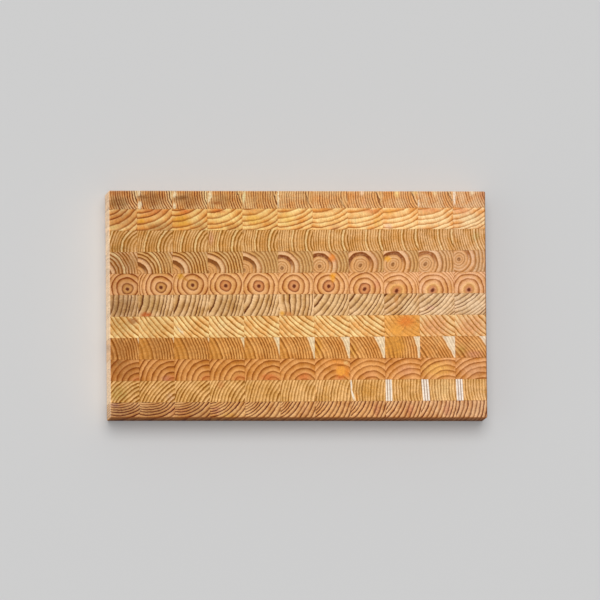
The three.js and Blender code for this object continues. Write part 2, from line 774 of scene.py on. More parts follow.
        swayed = self.strayed(tree, rings_at, self.sway_size, timber.wobble)
        rippled = self.strayed(tree, swayed, self.ripple_size, self.ripple)
        across = add_node(tree, VECTOR_MATH, {0: rippled, 1: (1.0, 1.0, 0.0)}, **TIMES)
        radius = add_node(tree, VECTOR_MATH, {0: across}, **LENGTH)
        ragged = self.strayed(tree, place, self.ripple_size, self.raggedness)
        insides = [
            patch.inside(tree, place if patch.crisp else ragged, self.slice_pitch)
            for patch in timber.patches
        ]
        masks = [patch.mask(tree, inside) for patch, inside in zip(timber.patches, insides)]
        for patch, mask in zip(timber.patches, masks):
            if patch.swell:
                radius = add_node(
                    tree, MATH, {0: mask, 1: patch.swell, 2: radius}, operation="MULTIPLY_ADD"
                )

        along = add_node(tree, SEPARATE, {0: place}, output="Z")
        share_along = add_node(tree, MATH, {0: along, 1: self.slice_pitch}, operation="DIVIDE")
        count = self.ring_count(tree, timber, radius)
        autumn = self.autumn_share(tree, timber, count, rings_at, share_along)
        sapwood = add_node(
            tree,
            MAP_RANGE,
            {
                "Value": radius,
                "From Min": timber.sap_radius - self.sap_edge,
                "From Max": timber.sap_radius + self.sap_edge,
            },
        )
        redness = self.spring_redness(tree, count, rings_at)
        spring = add_node(
            tree,
            MIX,
            {MIX_FACTOR: redness, MIX_A: linear(timber.early), MIX_B: linear(timber.blush)},
            **COLOUR_MIX,
        )
        spring = add_node(
            tree, MIX, {MIX_FACTOR: sapwood, MIX_A: spring, MIX_B: linear(timber.sap)}, **COLOUR_MIX
        )
        stains = [(band, band.mask(tree, radius, across, share_along)) for band in timber.bands]
        stains += list(zip(timber.patches, masks))
        flecks = self.noise(tree, rings_at, self.mottle_size, 2.0)
        weakest, strongest = self.mottling
        mottle = add_node(
            tree, MAP_RANGE, {"Value": flecks, **CLOUDS, "To Min": weakest, "To Max": strongest}
        )
        under = [pair for pair in stains if not pair[0].over]
        spring = self.stained(tree, spring, under, mottle)
        faded = add_node(
            tree, MAP_RANGE, {"Value": sapwood, "To Min": 1.0, "To Max": self.sap_rings}
        )
        dark = add_node(tree, MATH, {0: autumn, 1: faded}, **TIMES)
        colour = add_node(
            tree, MIX, {MIX_FACTOR: dark, MIX_A: spring, MIX_B: linear(timber.late)}, **COLOUR_MIX
        )
        over = [pair for pair in stains if pair[0].over]
        colour = self.stained(tree, colour, over, mottle)
        # Partly painted shade: darker towards the board's left end
        colour = self.trended_and_shaded(tree, timber, colour, share_along)
        light = self.fibres(tree, rippled, radius)
        for patch, inside, mask in zip(timber.patches, insides, masks):
            if patch.rays:
                shade = patch.shade(tree, inside, mask)
                light = add_node(tree, MATH, {0: light, 1: shade}, **TIMES)
        edge = add_node(tree, ATTRIBUTE, output="Fac", attribute_name=EDGE)
        end_grain, long_grain = self.wall_span
        wall = add_node(
            tree,
            MAP_RANGE,
            {"Value": edge, "From Min": end_grain, "From Max": long_grain},
            **SMOOTH,
        )
        # Painted highlight and painted shade on the walls round the board
        colour = self.walls_with_painted_light(tree, timber, colour, wall)
        colour = add_node(tree, VECTOR_MATH, {0: colour, "Scale": light}, operation="SCALE")
        tree.links.new(colour, shader.inputs["Base Color"])

        roughness = add_node(
            tree,
            MAP_RANGE,
            {"Value": dark, "To Min": self.spring_roughness, "To Max": self.autumn_roughness},
        )
        roughness = add_node(
            tree, MAP_RANGE, {"Value": wall, "To Min": roughness, "To Max": self.wall_roughness}
        )
        tree.links.new(roughness, shader.inputs["Roughness"])
        shader.inputs["IOR"].default_value = self.oil_ior
        shader.inputs["Specular IOR Level"].default_value = self.oil_level
        height = add_node(tree, MATH, {0: dark, 1: light}, operation="ADD")
        normal = add_node(
            tree,
            "ShaderNodeBump",
            {"Height": height, "Distance": self.relief * MM, "Strength": 1.0},
        )
        tree.links.new(normal, shader.inputs["Normal"])
        return made


def knot(*place: Any, **look: Any) -> Patch:
    """Makes a patch that hides the rings, as a knot does."""
    return Patch(*place, over=True, **look)


def flush(
    column: int, tint: str, strength: float, half_x: float = 30.0, half_y: float = 20.0
) -> Patch:
    """Tints the spring wood of a whole block."""
    return Patch(column, 0.0, 0.0, half_x, half_y, tint, strength)


def streak(column: int, *place: float, turn: float = 0.0, tint: str = CREAM) -> Patch:
    """Makes a streak of pale sapwood that hides the rings, from the block's centre."""
    return knot(column, *place, tint, strength=0.88, turn=turn, core=0.4)


def wisp(column: int, *place: float, turn: float = 0.0, tint: str = CREAM) -> Patch:
    """Makes a faint cloud of pale wood over the rings, from the block's centre."""
    return knot(column, *place, tint, strength=0.75, turn=turn, core=0.0)


def dark_ring(
    column: int, x: float, y: float = 0.5, half_y: float = 14.0, turn: float = 0.0
) -> tuple[Patch, Patch]:
    """Makes one bold dark ring with pale wood on its inner side, from the block's centre.

    Args:
        column: Slice of the block.
        x: Place of its middle.
        y: Place of its middle.
        half_y: Half its length.
        turn: Lean in degrees.

    Returns:
        The pale wood and the ring.
    """
    inwards = 1.7  # from the middle of the ring to that of the pale wood
    pale_half, dark_half = 1.5, 1.15  # half their widths
    pale = knot(column, x + inwards, y, pale_half, half_y, "#f6cf98", 0.6, turn)
    dark = knot(column, x, y, dark_half, half_y, "#5a2a08", 0.85, turn)
    return pale, dark


def sap_strip(column: int, x: float, half_x: float, turn: float = 0.0) -> tuple[Patch, ...]:
    """Makes a white strip of sapwood right across a block, with two brown rings in it.

    Args:
        column: Slice of the block.
        x: Place of its middle.
        half_x: Half its width.
        turn: Lean in degrees.

    Returns:
        The strip, and its two rings, each a third of half its width from its middle.
    """
    ring_half = 0.9  # half the width of a ring
    half_y = 60  # well past the block
    white = knot(column, x, 0, half_x, half_y, WHITE, 0.85, turn, core=0.8, crisp=True)
    rings = (
        knot(column, x + step, 0, ring_half, half_y, "#8a5a34", 0.85, turn, crisp=True)
        for step in (-half_x / 3, half_x / 3)
    )
    return (white, *rings)


TIMBERS = (
    Timber(
        row=1,
        pith={1: (48, 9), 4: (47.5, 4), 6: (42.5, 1), 7: (40, 3), 9: (42, 7), 11: (47, 11)},
        rings=(21, 24.3, 27.5, 30.6, 33.4),
        early="#e7c08e",
        blush="#e5984e",
        late="#7c3704",
        latewood=0.62,
        line=0.36,
        faintest=0.45,
        fade=0.6,
        painted_highlight=0.85,
        bands=(
            Band(21, 33, "#f6cf98", 0.7, soft=2.0, slices=(1, 3), over=False),
            Band(21, 33, "#eeb878", 0.4, soft=2.0, slices=(4, 11), over=False),
            *(
                Band(ring - 1.1, ring - 0.1, "#5c2c08", 0.75, soft=0.4, slices=(1, 3))
                for ring in (24.3, 27.5, 30.6)
            ),
            *(
                Band(ring + 0.6, ring + 1.5, "#f8d8a4", 0.85, soft=0.4, slices=(1, 3))
                for ring in (24.3, 27.5)
            ),
        ),
        patches=(
            knot(1, -4, 8, 18, 6, "#a8602c", 0.65),
            Patch(1, -2, -5, 20, 12, "#8f6a3a", 0.75),
            Patch(2, -2, -1, 20, 14, "#9a642e", 0.7),
            knot(2, -15, 2, 9, 3.4, "#754214", 0.75),
            streak(2, -18.2, 6.5, 2.6, 4),
            streak(2, -17.4, -8, 3.4, 7),
            Patch(3, -2, -2, 20, 14, "#a0682e", 0.65),
            knot(3, -11, 0, 14, 4, "#7d4a1c", 0.75, turn=5),
            streak(3, -17.6, 5, 2.8, 6, turn=-10),
            streak(3, -18, -9.5, 2.6, 5.5),
            Patch(4, -2, -2, 20, 13, "#b5793a", 0.6),
            streak(4, -17.6, 2, 2.8, 10, turn=-14),
            knot(4, -9.5, -5.5, 9, 3.6, "#9f5826", 0.75),
            streak(5, -18.8, 1, 2.4, 11, turn=-8, tint="#ecd9a8"),
            Patch(5, -2, 0, 20, 15, "#c98a45", 0.5),
            streak(6, -20, 0, 1.6, 15),
            wisp(8, -3.4, 6.5, 3.6, 7, turn=-14, tint="#f4dcc0"),
            Patch(8, -1, -6, 4, 9, "#e8a878", 0.7),
            Patch(9, -15, 2, 8, 12, "#d08a45", 0.6),
            wisp(9, -4.2, 5.5, 4.8, 9, tint="#f7dc96"),
            wisp(9, 17.5, 7, 5, 6, tint="#f0cc80"),
            streak(10, -20, -7, 1.8, 6),
            wisp(10, -0.5, 6, 4.2, 8, tint="#f7dfa8"),
            streak(11, -19.2, 0, 2.2, 13),
            wisp(11, 2.2, 6.5, 4.6, 8, tint="#f8e2b4"),
            *dark_ring(4, 17.2, turn=19),
            *dark_ring(5, 17.9, turn=18),
            *dark_ring(6, 13.7, turn=8),
            *dark_ring(7, 13, -6, 8, turn=20),
            *dark_ring(8, 15.2, turn=23),
            *dark_ring(9, 15.6, turn=25),
            *dark_ring(10, 17, turn=21),
            Patch(11, 15, 3, 6, 11, "#cf8a60", 0.7),
        ),
    ),
    Timber(
        row=2,
        pith={
            1: (-21.5, 41),
            3: (-18.5, 47),
            6: (-18.5, 58),
            8: (-15, 57),
            9: (-15.8, 56.5),
            10: (-18.5, 60.5),
            11: (-28, 66),
        },
        rings=(37, 43, 50, 57.3, 62.5, 68, 73.7, 78.5, 82, 86.5),
        early="#ffdea0",
        blush="#ec9f50",
        late="#904505",
        trend=1.4,
        fade=0.57,
        patches=(
            Patch(1, 0, 3, 28, 17, "#bd7840", 0.55),
            Patch(1, -6, -8, 10, 5, "#e0b870", 0.6),
            Patch(2, 0, 10, 26, 7, "#d97f44", 0.8),
            Patch(2, -16, -1.5, 7, 4, "#f0ae3c", 0.9),
            Patch(2, 6, -9, 24, 9, "#a8703a", 0.7),
            Patch(3, -9, -1.5, 17, 12, "#e8a83c", 0.8),
            Patch(3, -5, 9.5, 12, 5, "#dd7434", 0.8),
            Patch(3, 12, -8, 14, 9, "#b27538", 0.6),
            Patch(4, -8, 10.5, 14, 4.5, "#de7c40", 0.8),
            Patch(4, -8, 1, 14, 9, "#ffe0a0", 0.6),
            Patch(4, 10, -9, 14, 8, "#bd8040", 0.5),
            Patch(5, -8, 11, 16, 4, "#e59a58", 0.7),
            Patch(5, 2, 0, 30, 20, "#dd9846", 0.35),
            Patch(5, -8, 0, 14, 8, "#f8c866", 0.7),
            Patch(6, -10, 0, 14, 12, "#f9cc72", 0.6),
            Patch(7, -4, 10.5, 18, 4.5, "#dd9048", 0.8),
            Patch(7, 6, -9, 14, 6, "#e5a878", 0.6),
            Patch(8, 6, 9.5, 16, 5, "#e0884a", 0.85),
            Patch(8, -12, -1, 10, 9, "#ffe0a0", 0.5),
            Patch(8, 14, -4, 7, 10, "#f2b450", 0.6),
            Patch(9, -13, 8, 10, 6, "#f0aa50", 0.8),
            Patch(9, -15, -9, 8, 5, "#f8cfae", 0.7),
            Patch(10, -6, 10, 18, 5, "#e8995c", 0.85),
            Patch(11, -10, 9, 16, 6, "#ee9f62", 0.85),
            Patch(7, 0, -2, 24, 12, "#ffd890", 0.35),
            Patch(11, 4, -4, 24, 14, "#ffe0a0", 0.5),
        ),
    ),
    Timber(
        row=3,
        pith={1: (32, -11), 3: (35.5, -9), 6: (42, -2), 8: (46, 4), 11: (50, 11)},
        rings=(17, 21, 24.8, 28.5, 32.5, 35.5, 38.3, 41.4, 45.3, 48.3, 51.1, 53.9),
        early="#f0bf87",
        blush="#d4944c",
        late="#9b6110",
        latewood=0.62,
        line=0.36,
        faintest=0.45,
        trend=0.85,
        bands=(
            Band(29.3, 30.6, "#f9dba2", 0.55, soft=0.6),
            Band(46.1, 47, "#f9dba2", 0.5, soft=0.6),
        ),
        patches=(
            Patch(1, -2, -8, 20, 7, "#a07a40", 0.6),
            Patch(1, 0, 2, 26, 16, "#c08a48", 0.45),
            flush(2, "#c08a48", 0.4, 26, 16),
            Patch(4, -17, 3, 4.5, 12, "#e8ac8a", 0.85),
            Patch(5, 4, -2, 8, 14, "#c98840", 0.7),
            Patch(6, 8, -2, 10, 14, "#cf9040", 0.5),
            Patch(9, 4, -4, 10, 12, "#c98a48", 0.5),
            Patch(11, 6, 4, 7, 7, "#c2a45c", 0.7),
        ),
    ),
    Timber(
        row=4,
        pith={
            1: (-25.5, -15.8),
            3: (-23, -12.2),
            5: (-20.5, -9),
            7: (-14, -5),
            8: (-7, -4.1),
            9: (-10, -3.4),
            10: (-13, -3.3),
            11: (-15, 2.5),
        },
        rings=(5, 8, 11.7, 15.8, 22, 26, 29.8, 33.5, 37, 40.4, 43.6),
        early="#e9bc8f",
        blush="#e69e56",
        late="#915108",
        latewood=0.62,
        line=0.36,
        wobble=1.8,
        faintest=0.45,
        trend=0.8,
        bands=(
            Band(0, 11.2, "#dd9f62", 0.65, soft=0.8, slices=(1, 5)),
            Band(2.5, 11, "#e0a66c", 0.5, soft=1.0, slices=(6, 11)),
            Band(0, 0.6, "#7a4414", 0.8, soft=3.2),
            Band(12, 15.2, "#82460f", 0.94, soft=0.9, facing=100, slices=(1, 5), crisp=True),
            Band(12, 14.8, "#7f3d14", 0.95, soft=1.2, facing=100, slices=(6, 9)),
            Band(12, 14.6, "#96501f", 0.85, soft=1.4, facing=100, slices=(10, 11)),
            Band(16.6, 19.6, "#f5caa2", 0.45, soft=1.2, facing=80),
            Band(24, 46, "#cfa45e", 0.5, soft=3.0, slices=(2, 9), over=False),
            Band(22, 46, "#c99a62", 0.32, soft=2.0, slices=(5, 11)),
            Band(31.2, 32.2, "#f9dba2", 0.6, soft=0.6, slices=(1, 2)),
        ),
        patches=(
            flush(1, "#a87a48", 0.65, 32, 22),
            Patch(1, -8, 6, 11, 7, "#dcc494", 0.4),
            knot(1, 15, 0, 9, 15, "#bd8c54", 0.5),
            knot(2, 15, 0, 8, 15, "#c9985e", 0.45),
            knot(7, 1.5, 5, 6.5, 7, "#e88426", 0.9),
            Patch(7, 5, 2, 7, 8, "#e8a070", 0.7),
            Patch(8, 7, 2, 18, 14, "#c98040", 0.65),
            knot(9, -16, 3, 7, 5, "#f2a932", 0.85),
            Patch(11, 10, -8, 9, 6, "#dfae7c", 0.6),
            Patch(10, 4, 0, 24, 16, "#ecbc88", 0.45),
        ),
    ),
    Timber(
        row=5,
        pith={
            1: (8.2, -5.2),
            2: (6.4, -3.6),
            3: (2.2, -0.9),
            5: (-2.8, -2.7),
            7: (-3.4, -3.3),
            8: (-2.3, -6.8),
            9: (-6, -9.5),
            11: (-3.6, -8.4),
        },
        rings=(6.8, 13.6, 19.2, 23.6, 26.5, 29),
        early="#f7be8c",
        blush="#df9e5b",
        late="#924504",
        wobble=1.8,
        trend=1.2,
        bands=(
            Band(0, 6.4, "#cf9450", 0.5, soft=0.8, slices=(1, 3)),
            Band(0, 6.4, "#cd7d4e", 0.6, soft=0.8, slices=(4, 8)),
            Band(6.2, 7.1, "#85421a", 0.7, soft=0.7, slices=(1, 8)),
            Band(4.2, 8.5, "#f5bd6c", 0.5, soft=1.2, slices=(9, 11)),
            Band(0, 4.4, "#bd6f44", 0.65, soft=2.0, slices=(9, 11)),
            Band(0, 1.2, "#641f04", 0.95, soft=2.1, crisp=True),
        ),
        patches=(
            flush(1, "#bd7f45", 0.5),
            knot(3, -12, 9, 6, 6, "#d99a22", 0.9),
            knot(3, -6, 6, 7, 2.6, "#c9852e", 0.8, turn=-40),
            knot(7, 2, 7.5, 5, 9, "#f2a022", 0.95),
            knot(9, -13, 0.5, 10, 2.4, "#a8692e", 0.7, turn=-12),
            Patch(9, -6, -6, 16, 8, "#dd9048", 0.8),
            Patch(8, 12, -2, 6, 8, "#e59a70", 0.7),
        ),
    ),
    Timber(
        row=6,
        pith={
            1: (-67, 15),
            3: (-65, 18.5),
            5: (-61, 23),
            6: (-60, 10),
            7: (-56, 36),
            8: (-56.5, 42),
            9: (-52, 51.5),
            11: (-47, 69),
        },
        rings=(45.5, 52.8, 60.2, 66, 71.7, 76.5, 80, 84.5, 89, 92.5, 95.5),
        early="#f9ce9f",
        blush="#ca9556",
        late="#683101",
        trend=0.8,
        fade=0.85,
        patches=(
            flush(1, "#a07444", 0.75, 32, 22),
            Patch(2, -6, 2, 22, 18, "#b98e4e", 0.6),
            knot(2, -11.5, -11, 10, 5, "#c9642a", 0.95),
            Patch(6, -15, -12, 16, 19, "#e2b078", 0.4, swell=-6),
            knot(6, -9, -11.5, 9, 4.6, "#c98040", 0.9, turn=-12),
            knot(6, -13.4, -9.5, 2, 3, "#94602a", 0.7),
            knot(6, -17.5, -9.5, 4, 4.6, "#eda83a", 0.9),
            knot(9, -6.5, 6, 3.6, 8, "#cf8c48", 0.85),
            Patch(9, -15, 12, 10, 4, "#c98a3c", 0.8),
            flush(8, "#f3cf98", 0.35, 34, 24),
            Patch(9, 8, -2, 16, 16, "#f8dcae", 0.4),
            flush(10, "#f8dcae", 0.4, 34, 24),
            Patch(10, -8, -4, 8, 4, "#f0b898", 0.7),
            flush(11, "#f8dcae", 0.45, 34, 24),
            flush(4, "#b08048", 0.35),
            flush(7, "#f3cf98", 0.3),
        ),
    ),
    Timber(
        row=7,
        pith={1: (64.5, 52), 3: (59, 58), 6: (57, 65), 8: (55, 66.5), 11: (66, 60)},
        rings=(64.5, 71, 77, 82.5, 87.3, 92, 97.5, 102, 107),
        early="#ffdf9e",
        blush="#f0ac62",
        late="#a56614",
        trend=0.5,
        fade=0.95,
        patches=(
            knot(1, 14, 8, 10, 6, "#a96530", 0.85),
            Patch(1, -2, 2, 26, 18, "#bd8840", 0.65),
            flush(2, "#cf9448", 0.5),
            knot(3, -13.5, -4, 2.2, 10, "#fff0cc", 0.7, turn=42),
            Patch(9, 0, 0, 36, 27, "#eda550", 0.9, core=0.6),
            knot(9, 4, -2, 26, 20, "#eda24a", 0.6, core=0.4),
            knot(9, 6, 3, 26, 18, "#eb9a42", 0.4, core=0.3, rays=30),
            knot(9, 4.5, 5.5, 15, 10, "#ea8636", 0.95, core=0.2),
            knot(9, -7.2, -5, 8, 7.5, "#f0a64a", 0.95, core=0.5),
            flush(10, "#e3a070", 0.75, 34, 24),
            Patch(10, 15.7, 2, 9, 5, "#fbd496", 0.9, turn=-40),
            flush(11, "#e3a070", 0.75, 34, 24),
            flush(4, "#ffe8b4", 0.35),
        ),
    ),
    Timber(
        row=8,
        pith={
            1: (-71, -20),
            2: (-71, -20),
            3: (-70, -23),
            6: (-75, -27),
            8: (-74, -36),
            9: (-77, -18),
            10: (-70, -46),
            11: (-64.5, -50),
        },
        rings=(57.5, 63, 68, 72.4, 75.6, 78.8, 82, 85.3, 88.5),
        early="#efb16a",
        blush="#d48c45",
        late="#925003",
        latewood=0.62,
        line=0.36,
        sap="#f5dcb6",
        sap_radius=95.5,
        trend=0.9,
        painted_highlight=0.7,
        bands=(Band(40, 64, "#d08a36", 0.5, soft=5.0, slices=(2, 6)),),
        patches=(
            flush(1, "#a8682e", 0.7, 32, 22),
            Patch(1, -20, 0, 6, 14, "#dd9468", 0.6),
            flush(2, "#ab6a2c", 0.6, 32, 22),
            Patch(7, -17, 0, 7, 16, "#e0a040", 0.8),
            Patch(8, -17, -4, 6, 12, "#e0a84c", 0.6),
            Patch(9, -10, 1, 19, 22, "#e09a3e", 0.9, core=0.4),
            knot(9, -10, 5, 18, 20, "#e39a40", 0.6, rays=20),
            Patch(10, -12, -6, 11, 8, "#e0974a", 0.7),
            Patch(11, -14, -3, 9, 9, "#c99a4a", 0.75),
            Patch(11, 2, -9, 15, 7, "#d08a66", 0.7),
            flush(3, "#b4702c", 0.4),
        ),
    ),
    Timber(
        row=9,
        pith={
            1: (20, -17),
            3: (19, -14.5),
            5: (13, -16),
            6: (8.5, -18.8),
            8: (5, -22.7),
            9: (10, -26),
            11: (11.5, -31),
        },
        rings=(8, 14, 20.7, 27, 33, 39, 44.5),
        early="#f0ae6f",
        blush="#cb8137",
        late="#904701",
        latewood=0.6,
        trend=1.2,
        bands=(Band(0, 9, "#cf7038", 0.45, soft=2.5, slices=(1, 7)),),
        patches=(
            flush(1, "#a8682e", 0.6, 32, 22),
            Patch(1, -6, 9, 14, 5, "#96602a", 0.6),
            Patch(2, 12, -10, 10, 6, "#b8706a", 0.6),
            Patch(5, 6, -9, 14, 7, "#d9743a", 0.8),
            Patch(6, 8, -8, 12, 6, "#d9743a", 0.8),
            Patch(7, 4, 8, 18, 8, "#ee9a48", 0.7),
            knot(7, 11, -1.5, 13, 12, "#e08a3a", 0.7, core=0.3),
            knot(7, 9, -9, 8, 4, "#c8642a", 0.8),
            knot(7, 9.8, -2, 7.2, 7, "#f2a244", 0.95, core=0.65),
            knot(7, 9.6, 4.4, 8, 1.7, "#a65c1a", 0.9, core=0.3, crisp=True),
            knot(7, 17, -5, 4, 10, "#e88c34", 0.8),
            wisp(7, 15.8, 7.6, 4.4, 4, tint="#f2c888"),
            Patch(8, 2, -6, 14, 8, "#e8a070", 0.6),
            Patch(9, 4, -2, 16, 10, "#e2a078", 0.5),
            Patch(10, -2, -1, 26, 14, "#f6b860", 0.8),
            Patch(11, 0, -2, 20, 12, "#e2a878", 0.5),
            Patch(8, 0, 2, 28, 16, "#f4b068", 0.4),
        ),
    ),
    Timber(
        row=10,
        pith={
            1: (40, -40.5),
            3: (47.5, -33.5),
            6: (61, -16.5),
            7: (70, -14),
            9: (81.5, 2),
            11: (90, 7),
        },
        rings=(42.3, 47, 51.3, 55.4, 59.3, 63.1, 66.8, 70.4, 73.9, 77.2),
        early="#fcc686",
        blush="#d79f56",
        late="#965904",
        latewood=0.62,
        line=0.36,
        trend=0.6,
        fade=0.65,
        patches=(
            Patch(1, -4, -3, 18, 13, "#b39a4a", 0.6),
            Patch(1, 4, 4, 20, 12, "#cfa460", 0.5),
            Patch(2, 16, -7, 7, 7, "#d9a888", 0.55),
            Patch(4, -8, 8, 7, 8, "#dd9458", 0.8),
            Patch(8, 2, 0, 20, 18, "#cf9038", 0.7),
            Patch(8, -13.5, -8, 2.4, 9, "#dd8f38", 0.9, turn=10),
            knot(8, -20, 7, 1.5, 9, WHITE, 0.9, turn=3, core=0.3, crisp=True),
            knot(8, -18.6, -5, 1.4, 10, WHITE, 0.9, turn=14, core=0.3, crisp=True),
            knot(8, -16.6, -7.5, 0.8, 7, CREAM, 0.8, turn=16, core=0.3, crisp=True),
            *sap_strip(9, -17.3, 4.5, turn=1),
            *sap_strip(10, -15.1, 4.6, turn=4),
            *sap_strip(11, -16.5, 4.4, turn=2.5),
            flush(5, "#d0903c", 0.4),
            Patch(10, 6, 0, 22, 20, "#ffd898", 0.45),
        ),
    ),
    Timber(
        row=11,
        pith={
            1: (-4.5, 39),
            3: (-18, 39.5),
            6: (-40, 31),
            8: (-47.5, 27.5),
            9: (-50.5, 27),
            11: (-62, 18),
        },
        rings=(27.5, 30.3, 33, 36, 39, 42.5, 47, 52.2, 56.5, 62.2, 67, 71.5, 75.5),
        early="#efbb85",
        blush="#ca8645",
        late="#5d1901",
        latewood=0.55,
        line=0.27,
        fade=1.0,
        painted_highlight=0.45,
        patches=(
            Patch(1, -9, 9.5, 10, 4, "#8a5a66", 0.6),
            Patch(1, 0, 1, 28, 14, "#a8784c", 0.7),
            Patch(2, -5, 1, 28, 14, "#b07c4a", 0.65),
            Patch(2, 18, 2, 9, 8, "#cf8a5c", 0.55),
            flush(3, "#a8703e", 0.45, 30, 18),
            Patch(3, -14, 2, 10, 7, "#cf8a5c", 0.55),
            Patch(4, -14, 3, 9, 7, "#c9876c", 0.65),
            Patch(4, 0, -5, 14, 8, "#d9a04a", 0.6),
            Patch(6, 8, 2, 8, 10, "#c98658", 0.5),
            Patch(7, -2, 0, 28, 18, "#eeb070", 0.45),
            Patch(8, -4, 0, 26, 18, "#eeb070", 0.5),
            Patch(8, 10, 2, 6, 12, "#cf7f58", 0.6),
            Patch(9, 8, 2, 7, 12, "#cf7f58", 0.6),
            Patch(10, 10, 2, 7, 12, "#cf7f58", 0.6),
            flush(11, "#ecb880", 0.4, 28, 18),
        ),
    ),
)


@dataclass(frozen=True)
class Envelope:
    """The sawn and planed board with one radius run round every outside edge and corner."""

    length: float
    width: float
    thickness: float
    round_over: float = 2.0

    @property
    def half(self) -> np.ndarray:
        """Half the length and half the width."""
        return np.array([self.length, self.width]) / 2

    def carry(self, plan: np.ndarray) -> tuple[np.ndarray, np.ndarray]:
        """Carries points of the square-cornered plan onto the rounded board.

        Past the straight part of the board, u and v run from 0 to 1 at the outline. Their square
        becomes a quarter disc by u sqrt(1 - v v / 2) and v sqrt(1 - u u / 2), and at the distance
        d from the disc's centre the face drops by r - sqrt(r r - d d).

        Args:
            plan: Points of the plan, with a last axis of 2.

        Returns:
            The carried points, and how far each lies below the flat face.
        """
        straight = self.half - self.round_over
        reach = np.abs(plan)
        over = np.clip((reach - straight) / self.round_over, 0, 1)
        disc = over * np.sqrt(1 - over[..., ::-1] ** 2 / 2)
        carried = np.sign(plan) * (np.minimum(reach, straight) + disc * self.round_over)
        rise = np.sqrt(np.maximum(1 - np.sum(disc**2, -1), 0))
        return carried, self.round_over * (1 - rise)

    def edge_share(self, plan: np.ndarray) -> np.ndarray:
        """Measures how far points lie past the straight part, as a share of the round-over.

        Args:
            plan: Points of the board's plan, with a last axis of 2.

        Returns:
            0 on a flat face, rising to 1 at the outline.
        """
        past = np.abs(plan) - (self.half - self.round_over)
        over = np.maximum(past, 0) / self.round_over
        return np.minimum(np.hypot(over[..., 0], over[..., 1]), 1)


@dataclass(frozen=True)
class GlueUp:
    """The blank of glued slices, which lies a little askew in the sawn outline."""

    timber_depth: float = 41.7
    timber_width: float = 25.4
    glue_line: float = 0.1
    count: int = 11
    skew: float = math.radians(0.4)
    saw_kerf: float = 3.2
    left_trim: float = 7.5  # sawn off the blank to make the outline
    right_trim: float = 3.8
    back_trim: float = 4.5
    front_trim: float = 6.2

    @property
    def pitches(self) -> np.ndarray:
        """Distances from slice to slice and from row to row."""
        return np.array([self.timber_depth, self.timber_width]) + self.glue_line

    @property
    def axes(self) -> np.ndarray:
        """Directions along the row and towards the back, in the board's frame."""
        cos, sin = math.cos(self.skew), math.sin(self.skew)
        return np.array([[cos, sin], [-sin, cos]])

    @property
    def middle(self) -> np.ndarray:
        """Middle of the blank in the board's frame, beside the origin where trims are uneven."""
        uneven = [self.right_trim - self.left_trim, self.back_trim - self.front_trim]
        return np.array(uneven) / 2

    def centre(self, row: int, column: int) -> np.ndarray:
        """Centre of a block's full section, along the blank's axes from the board's middle."""
        middle = (self.count + 1) / 2
        steps = np.array([column - middle, middle - row])
        return steps * self.pitches + self.axes @ self.middle


